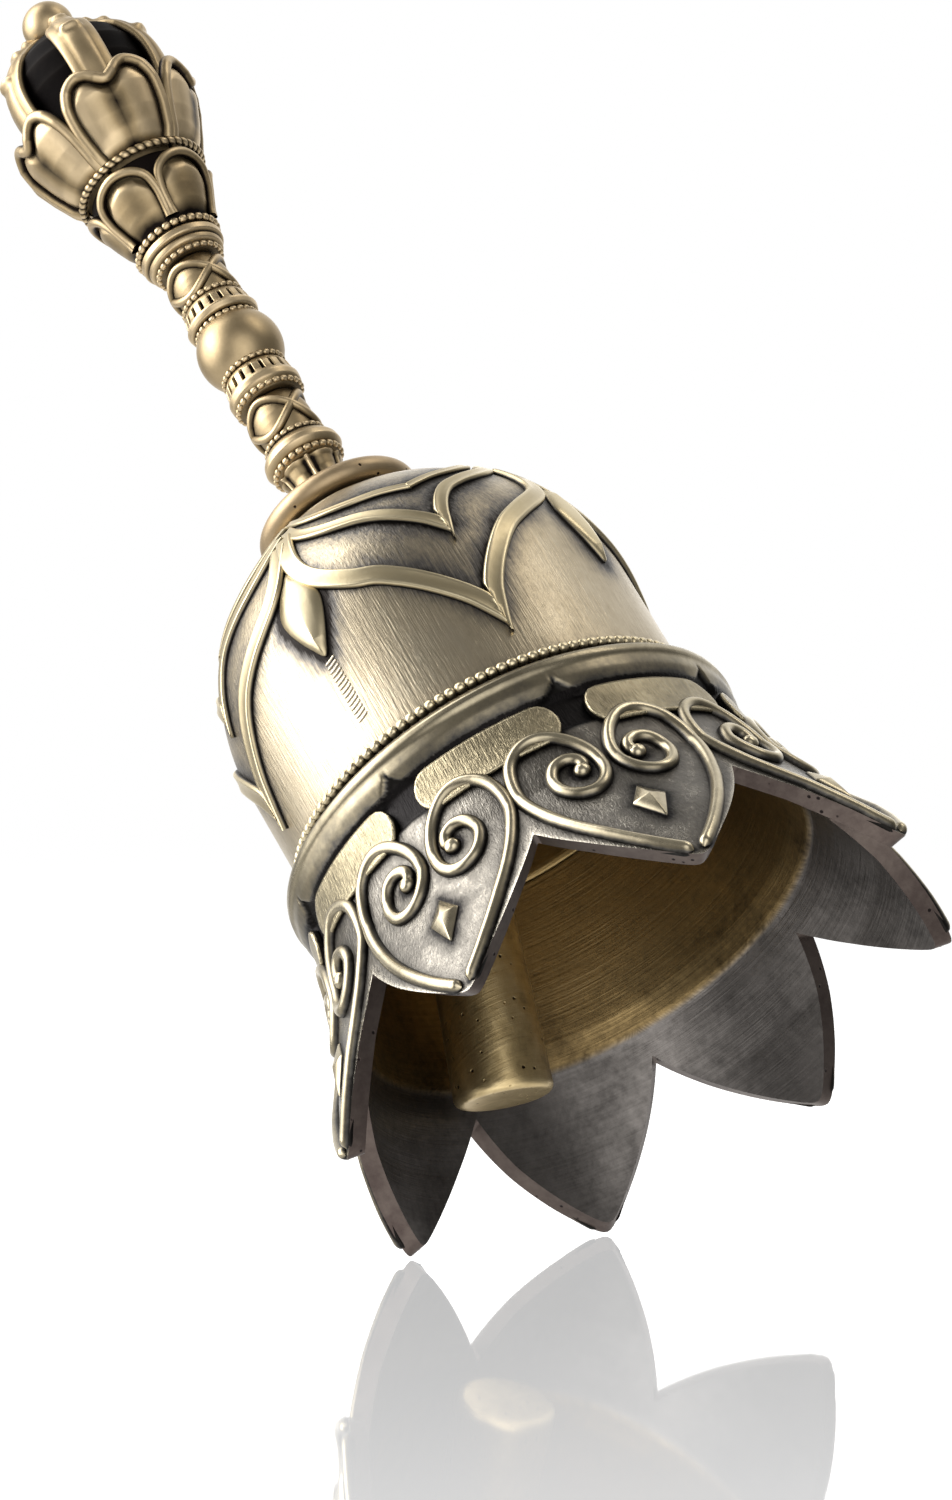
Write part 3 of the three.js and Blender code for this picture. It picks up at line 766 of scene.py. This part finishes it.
# ---- The two lotus cups ----
ARCH = [(-33, 145.0), (-34, 147.3), (-33.5, 149.4), (-29, 151.5), (-17, 153.0), (0, 153.6),
        (17, 153.0), (29, 151.5), (33.5, 149.4), (34, 147.3), (33, 145.0)]
LOWER_CUP = [(143.4, 6.0), (144.4, 6.1), (146, 6.5), (149, 7.7), (152, 8.7), (154.6, 9.2)]
UPPER_CUP = [(154.8, 8.3), (156.3, 8.9), (157.5, 9.9), (161, 11.5), (164.5, 12.8), (166.5, 13.2), (168.6, 13.0)]


def make_lower_cup():
    casting = Casting()
    first = FIRST_PRONG + 180 / PRONGS
    crests = [(0, 153.1), (17, 152.5), (27, 151.2), (32, 149.0), (34, 146.3), (36, 145.0)]

    def shape(angle, radius, z):
        aside = np.abs(from_petal(angle, first))
        crest = np.interp(aside, *zip(*crests))
        across = np.clip(aside / 31, 0, 1)
        swell = 0.75 * np.sqrt(1 - across ** 2) * smooth_step((z - 144.6) / 2.5) * smooth_step((crest - z) / 2.0)
        return radius - 0.5 + swell - 0.5 * smooth_step((z - crest - 0.2) / 0.5)

    # Painted shade and patina: near black above the arches' crests, darker towards the petals' sides and towards the
    # bottom.
    def shade_and_patina(angle, z):
        aside = np.abs(from_petal(angle, first))
        crest = np.interp(aside, *zip(*crests))
        return -0.3 - 1.3 * smooth_step((z - crest) / 0.5) - 0.4 * smooth_step((aside - 22) / 9) - 0.15 * smooth_step((149 - z) / 4)

    profile = [(r, z) for z, r in LOWER_CUP]
    turned_piece(casting, profile, 360, shape=shape, strength=2.6, reach=1.3, tone=-0.05, shade_and_patina=shade_and_patina)
    line = smooth_line(ARCH, 0.35)
    radius_at = table_radius(LOWER_CUP)
    for k in range(PRONGS):
        strip(casting, radius_at, line, wire_section(1.35, 0.6), first + k * 360 / PRONGS)
    bead_row(casting, 6.0, 144.0, 0.55, 30)
    return casting.make("lotus_low", [HANDLE_BRASS], "bell", ["lower_lotus_cup"])


def make_rope_ring():
    casting = Casting()
    radius, z, wire, strands = 9.1, 155.5, 0.62, 48
    angle = np.linspace(0, 360, strands * 10, endpoint=False)
    turn = np.linspace(0, 2 * math.pi, 16, endpoint=False)[:, None]
    ridge = np.abs(np.cos(0.5 * (turn + np.radians(angle) * strands)))
    size = wire * (0.72 + 0.28 * ridge ** 0.7)
    # Painted shade between the strands and a painted highlight along each strand's ridge.
    casting.grid(around(radius + size * np.cos(turn), angle, z + size * np.sin(turn)), 1.8 * ridge - 1.1, wrap_rows=True)
    return casting.make("twisted_rope", [HANDLE_BRASS], "bell", ["rope_ring"])


# Half of a heart petal's outline, from its foot over its crest to the dip in its middle.
HEART = [
    (33.4, 156.4), (33.8, 158.5), (33.2, 161.6), (30.3, 164.6), (24.5, 166.9), (17, 167.9), (10.5, 167.5), (5, 166.4), (0, 165.8),
]


def make_upper_cup():
    casting = Casting()
    outline = smooth_line(HEART + [(-a, z) for a, z in HEART[-2::-1]], 0.35)
    half = smooth_line(HEART, 0.2)[::-1]
    columns = 420
    angle = np.linspace(0, 360, columns, endpoint=False) + FIRST_PRONG
    aside = np.abs(from_petal(angle, FIRST_PRONG))
    top = np.interp(aside, np.maximum.accumulate(half[:, 0]), half[:, 1]) + 0.25
    top = np.minimum(top, np.interp(aside, [33, 34.5, 36], [170, 161.5, 159.8]))
    low = UPPER_CUP[0][0]
    share = np.linspace(0, 1, 90)[:, None]
    z = low + share * (top - low)
    radius_at = table_radius(UPPER_CUP)
    across = np.clip(aside / 31, 0, 1)
    lobes = 0.62 * np.sqrt(1 - across ** 2) + 0.12 * np.sin(across * math.pi) ** 1.5
    tall = smooth_step((z - 156.3) / 2.5) * smooth_step((top - 0.6 - z) / 2.4)
    radius = radius_at(z) - 0.55 + lobes * tall - 0.4 * smooth_step((aside - 34) / 2)
    # Painted shade in the hollows between the lobes and a painted highlight on the lobes.
    cavity = radius - blurred(radius, 7, 9)
    casting.grid(around(radius, angle, z), np.clip(3.2 * cavity - 0.12, -1, 1))
    floor = 160.4
    inner_share = np.linspace(1, 0, 30)[:, None]
    inner_z = floor + inner_share * (np.maximum(top, floor + 0.3) - floor)
    inner_r = radius_at(inner_z) - 1.9
    inner = np.concatenate([around(inner_r, angle, inner_z), around(BORE_R + 0 * angle, angle, floor)[None]])
    # The inside of the cup is near black, a painted shade.
    casting.grid(inner, -1.0)
    casting.grid(np.stack([around(radius[-1], angle, z[-1]), inner[0]]), 0.2)
    # Painted shade on the cup's underside.
    casting.grid(np.stack([around(BORE_R + 0 * angle, angle, low), around(radius[0], angle, z[0])]), -0.8)
    for k in range(PRONGS):
        strip(casting, radius_at, outline, wire_section(1.7, 0.75), FIRST_PRONG + k * 360 / PRONGS)
    return casting.make("lotus_high", [HANDLE_BRASS], "bell", ["upper_lotus_cup"])


make_lower_cup()
make_rope_ring()
make_upper_cup()

# ---- The crown ----
# The middle of a prong as (radius, height), from its foot to its tip under the finial.
PRONG_LINE = [(8.3, 160.8), (9.6, 164.5), (10.3, 168.5), (10.7, 172), (10.3, 175.5), (8.7, 178.8), (6.0, 181.4), (3.3, 183.2)]
# Along it: the share of the way, the half width and the half thickness.
PRONG_FORM = [
    (0, 2.8, 1.0), (0.45, 3.0, 1.15), (0.62, 3.1, 1.2), (0.74, 3.1, 1.2), (0.8, 2.8, 1.15), (0.85, 2.3, 1.0),
    (0.92, 2.0, 1.0), (1.0, 1.6, 0.9),
]
PRONG_BUMPS_Z = (177.0, 181.0, 182.6)
# Across it: shares of the half width and half thickness, and the shade: painted shade on the inner face and beside the
# rib, painted highlights on the rounded edges and the rib. The outer face has a raised rib.
PRONG_SECTION = [
    (-1.0, -0.1, -0.5), (-1.0, 0.15, 0.1), (-0.9, 0.4, 0.2), (-0.66, 0.6, -0.1), (-0.56, 0.72, -0.2), (-0.46, 0.95, 0.3),
    (-0.25, 1.1, 0.4), (0, 1.14, 0.35), (0.25, 1.1, 0.4), (0.46, 0.95, 0.3), (0.56, 0.72, -0.2), (0.66, 0.6, -0.1),
    (0.9, 0.4, 0.2), (1.0, 0.15, 0.1), (1.0, -0.1, -0.5), (0.9, -0.6, -1), (0.6, -0.85, -1), (-0.6, -0.85, -1), (-0.9, -0.6, -1),
]


def make_prong(number):
    casting = Casting()
    line = smooth_line(PRONG_LINE, 0.15)
    share = np.linspace(0, 1, len(line))
    at, widths, depths = zip(*PRONG_FORM)
    width, depth = np.interp(share, at, widths), np.interp(share, at, depths)
    tangent = np.gradient(line, axis=0)
    tangent /= np.linalg.norm(tangent, axis=1, keepdims=True)
    out = np.stack([tangent[:, 1], -tangent[:, 0]], 1)
    section = np.array(PRONG_SECTION)
    side, lift = section[:, 0], section[:, 1]
    bump = sum(np.exp(-((line[:, 1] - z) / 0.55) ** 2) for z in PRONG_BUMPS_Z)
    on_rib = np.clip(lift - 0.6, 0, 0.4)
    radial = depth[:, None] * lift + 1.9 * bump[:, None] * on_rib
    r = line[:, :1] + out[:, :1] * radial
    z = line[:, 1:] + out[:, 1:] * radial
    sideways = width[:, None] * side
    turn = math.radians(FIRST_PRONG + number * 360 / PRONGS)
    x = r * math.cos(turn) - sideways * math.sin(turn)
    y = r * math.sin(turn) + sideways * math.cos(turn)
    points = np.stack([x, y, z], -1)
    # On the rib, painted highlights on the bumps and slight painted shade between them.
    shade = section[:, 2] + (0.5 * bump[:, None] - 0.15) * (on_rib > 0)
    casting.grid(points, np.clip(shade, -1, 1))
    for end in points[[0, -1]]:
        centre = np.repeat(end.mean(0)[None], len(end), 0)
        casting.grid(np.stack([end, centre]), 0.0)
    name = f"crown_prong_{number + 1}"
    return casting.make(f"bowed_prong_{number + 1}", [HANDLE_BRASS], "bell", [name])


for number in range(PRONGS):
    make_prong(number)
# A near-black core inside the crown, standing in for the shade seen through its windows: a painted shadow.
rod_piece("crown_core", "centre_prong",
          [(6.9, 160.6), (8.4, 165), (9, 169), (9.7, 173), (9.6, 176.4), (8.4, 179.3), (6.2, 181.4), (3.6, 182.6)], 80,
          DARK_BRASS, "recess_brass")


def make_finial():
    casting = Casting()
    profile = np.array(arc_profile(0, 186.3, 3.7, -89, 89, 60))
    angle = np.linspace(0, 360, 96, endpoint=False)
    points = around(profile[:, :1], angle[None, :], profile[:, 1:])
    # Painted shade on the ball's underside and a painted highlight on its top.
    shade = np.clip((profile[:, 1:] - 183.6) / 1.2, -0.6, 0.25)
    casting.grid(points, np.repeat(shade, 96, 1))
    return casting.make("finial_knob", [HANDLE_BRASS], "bell", ["finial_ball"])


make_finial()


# ---- The clapper ----
def to_body_line(base, tip, points):
    """Points drawn along +Z from the origin, laid on the line from base to tip."""
    direction = Vector(tip) - Vector(base)
    turn = Vector((0, 0, 1)).rotation_difference(direction).to_matrix()
    return np.einsum("ij,...j->...i", np.array(turn), points) + np.array(base)


def make_clapper():
    casting = Casting()
    joints = {j["name"]: j for j in frame["joints"]}
    top = np.array(joints["clapper_swing"]["pos_m"]) / MM
    lean_x = math.radians(14.0)
    lean_y = math.radians(18.9)
    down = Matrix.Rotation(lean_x, 3, "X") @ Matrix.Rotation(lean_y, 3, "Y") @ Vector((0, 0, -1))
    base = top + np.array(down) * 63.5
    profile = [(0.01, 0.15), (3.0, 0.05), (5.6, 0.0)] + arc_profile(5.7, 1.1, 1.1, -85, 0, 8) + [
        (6.4, 15), (5.6, 38), (4.8, 49), (3.6, 51.4), (1.5, 52)]
    outer = even_line(np.array(profile), 0.35)
    angle = np.linspace(0, 360, 160, endpoint=False)
    rng = np.random.default_rng(7)
    dents = blurred(rng.normal(size=(len(outer), 160)), 2, 2) * 0.09
    r = outer[:, :1] + dents * np.clip(outer[:, :1] - 1, 0, 1)
    z = outer[:, 1:] + 0 * r
    # The colour follows the dents, darker in each and lighter on each bump, as painted shade and highlight, and is
    # lighter near the flat end.
    shade = np.clip(dents * 9 + 0.5 * np.exp(-((z - 0.4) / 0.8) ** 2), -1, 1)
    casting.grid(to_body_line(base, top, around(r, angle[None, :], z)), shade)
    return casting.make("clapper_cast", [CLAPPER_BRASS], "clapper", ["clapper_cylinder"])


make_clapper()
for name in ("tie_rod", "clamp_washer", "hanger_eye", "link_ring", "clapper_eye", "seat_washer"):
    mesh = frame["nodes"][name].data
    mesh.materials.clear()
    mesh.materials.append(DARK_BRASS if name == "seat_washer" else STEEL)


# ---- Stage, light and camera ----
PHOTO_RIGHT = Vector((0.860222, 0.242218, -0.448719))
PHOTO_UP = Vector((0.509919, -0.408466, 0.757058))
TOWARDS = PHOTO_RIGHT.cross(PHOTO_UP).normalized()
CAMERA_PLACE = Vector((0.0, -1.020638, -0.499065))
FLOOR_NORMAL = Vector((0.5028, -0.4838, 0.7163)).normalized()


def bell_direction(azimuth, elevation):
    """A direction from the bell: degrees to the right of the camera, and degrees up its own axis."""
    a, e = math.radians(azimuth), math.radians(elevation)
    return Vector((math.sin(a) * math.cos(e), -math.cos(a) * math.cos(e), math.sin(e)))


# The studio as soft patches of light: the direction, the full and the fading half angle, and the strength.
SOFT_PATCHES = [
    (bell_direction(-66, 34), 18, 44, 2.9),
    (bell_direction(-60, 68), 8, 28, 2.8),
    (bell_direction(84, 32), 8, 34, 0.55),
    (bell_direction(-25, 80), 6, 22, 2.0),
    (bell_direction(14, -18), 9, 36, 1.5),
    (bell_direction(165, 35), 22, 60, 0.9),
    (bell_direction(-134, -46), 35, 80, 0.8),
    (bell_direction(-15, -62), 14, 44, 1.0),
    (Vector((0.086, 0.797, 0.597)), 9, 17, 1.0),
]
ROOM_LEVEL = 0.2
LAMP_DISTANCE = 0.8




def area_light(name, direction, width, height, power, colour=(1, 1, 1)):
    """A softbox in this direction from the bell's middle, and aimed at it."""
    middle = Vector((0, 0, 0.09))
    light = bpy.data.lights.new(name, "AREA")
    light.shape = "RECTANGLE"
    light.size, light.size_y = width, height
    light.energy = power
    light.color = colour
    lamp = bpy.data.objects.new(name, light)
    bpy.context.scene.collection.objects.link(lamp)
    lamp.location = middle + direction * LAMP_DISTANCE
    lamp.visible_camera = False
    lamp.rotation_mode = "QUATERNION"
    lamp.rotation_quaternion = direction.to_track_quat("Z", "Y")


def make_world():
    world = bpy.data.worlds.new("studio")
    bpy.context.scene.world = world
    world.use_nodes = True
    tree = world.node_tree
    tree.nodes.clear()
    seen = node(tree, "ShaderNodeLightPath").outputs["Is Camera Ray"]
    white = node(tree, "ShaderNodeBackground", Strength=1.0)
    white.inputs["Color"].default_value = (1, 1, 1, 1)
    room = node(tree, "ShaderNodeBackground")
    room.inputs["Color"].default_value = (1.0, 0.985, 0.96, 1)
    direction = node(tree, "ShaderNodeTexCoord").outputs["Generated"]
    total = ROOM_LEVEL
    for towards, full, fading, strength in SOFT_PATCHES:
        facing = node(tree, "ShaderNodeVectorMath", operation="DOT_PRODUCT")
        link(tree, direction, facing.inputs[0])
        facing.inputs[1].default_value = towards
        patch = node(tree, "ShaderNodeMapRange", interpolation_type="SMOOTHSTEP")
        patch.inputs["From Min"].default_value = math.cos(math.radians(fading))
        patch.inputs["From Max"].default_value = math.cos(math.radians(full))
        patch.inputs["To Max"].default_value = strength
        link(tree, facing.outputs["Value"], patch.inputs["Value"])
        total = arithmetic(tree, "ADD", patch.outputs[0], total)
    link(tree, total, room.inputs["Strength"])
    mix = node(tree, "ShaderNodeMixShader")
    link(tree, seen, mix.inputs["Fac"])
    link(tree, room.outputs[0], mix.inputs[1])
    link(tree, white.outputs[0], mix.inputs[2])
    out = node(tree, "ShaderNodeOutputWorld")
    link(tree, mix.outputs[0], out.inputs["Surface"])


def make_floor():
    """A pale floor through the two petal tips that the bell leans on. Its far side isn't seen."""
    tips = [Vector(around(TIP_R, FIRST_PETAL + 45 * k, 0.0) * MM) for k in (4, 5)]
    middle = (tips[0] + tips[1]) / 2
    mesh = bpy.data.meshes.new("floor")
    across = (tips[1] - tips[0]).normalized()
    across = (across - FLOOR_NORMAL * across.dot(FLOOR_NORMAL)).normalized()
    along = FLOOR_NORMAL.cross(across)
    ring = [middle + (across * math.cos(a) + along * math.sin(a)) * 0.6 for a in np.radians(range(0, 360, 6))]
    mesh.from_pydata([tuple(p - FLOOR_NORMAL * 0.0003) for p in ring], [], [list(range(len(ring)))])
    floor = bpy.data.objects.new("floor", mesh)
    bpy.context.scene.collection.objects.link(floor)
    material = bpy.data.materials.new("floor gloss")
    material.use_nodes = True
    tree = material.node_tree
    tree.nodes.clear()
    gloss = node(tree, "ShaderNodeBsdfGlossy", Roughness=0.03)
    gloss.inputs["Color"].default_value = (1, 1, 1, 1)
    clear = node(tree, "ShaderNodeBsdfTransparent")
    behind = node(tree, "ShaderNodeNewGeometry").outputs["Backfacing"]
    place = node(tree, "ShaderNodeTexCoord").outputs["Object"]
    away = node(tree, "ShaderNodeVectorMath", operation="DISTANCE")
    link(tree, place, away.inputs[0])
    away.inputs[1].default_value = middle
    fade = node(tree, "ShaderNodeMapRange", interpolation_type="SMOOTHSTEP")
    fade.inputs["From Min"].default_value = 0.02
    fade.inputs["From Max"].default_value = 0.55
    fade.inputs["To Min"].default_value = 0.5
    fade.inputs["To Max"].default_value = 0.0
    link(tree, away.outputs["Value"], fade.inputs["Value"])
    grazing = node(tree, "ShaderNodeMapRange", interpolation_type="SMOOTHSTEP")
    grazing.inputs["From Min"].default_value = 0.55
    grazing.inputs["From Max"].default_value = 0.9
    link(tree, node(tree, "ShaderNodeLayerWeight", Blend=0.5).outputs["Facing"], grazing.inputs["Value"])
    amount = arithmetic(tree, "MULTIPLY", arithmetic(tree, "SUBTRACT", 1.0, behind), fade.outputs[0])
    amount = arithmetic(tree, "MULTIPLY", amount, grazing.outputs[0])
    mix = node(tree, "ShaderNodeMixShader")
    link(tree, amount, mix.inputs["Fac"])
    link(tree, clear.outputs[0], mix.inputs[1])
    link(tree, gloss.outputs[0], mix.inputs[2])
    out = node(tree, "ShaderNodeOutputMaterial")
    link(tree, mix.outputs[0], out.inputs["Surface"])
    mesh.materials.append(material)


def make_camera():
    camera = bpy.data.cameras.new("camera")
    camera.sensor_width = 36.0
    camera.lens = 208.17
    camera.clip_start, camera.clip_end = 0.1, 10.0
    seen_from = bpy.data.objects.new("camera", camera)
    bpy.context.scene.collection.objects.link(seen_from)
    turn = Matrix((PHOTO_RIGHT, PHOTO_UP, TOWARDS)).transposed()
    seen_from.matrix_world = Matrix.Translation(CAMERA_PLACE) @ turn.to_4x4()
    bpy.context.scene.camera = seen_from


make_world()
make_floor()
make_camera()
area_light("left softbox", bell_direction(-60, 40), 0.25, 0.5, 2.5)
area_light("right strip", bell_direction(75, 30), 0.1, 0.5, 0.6, (1.0, 0.92, 0.8))

bpy.context.scene.view_settings.view_transform = "Standard"
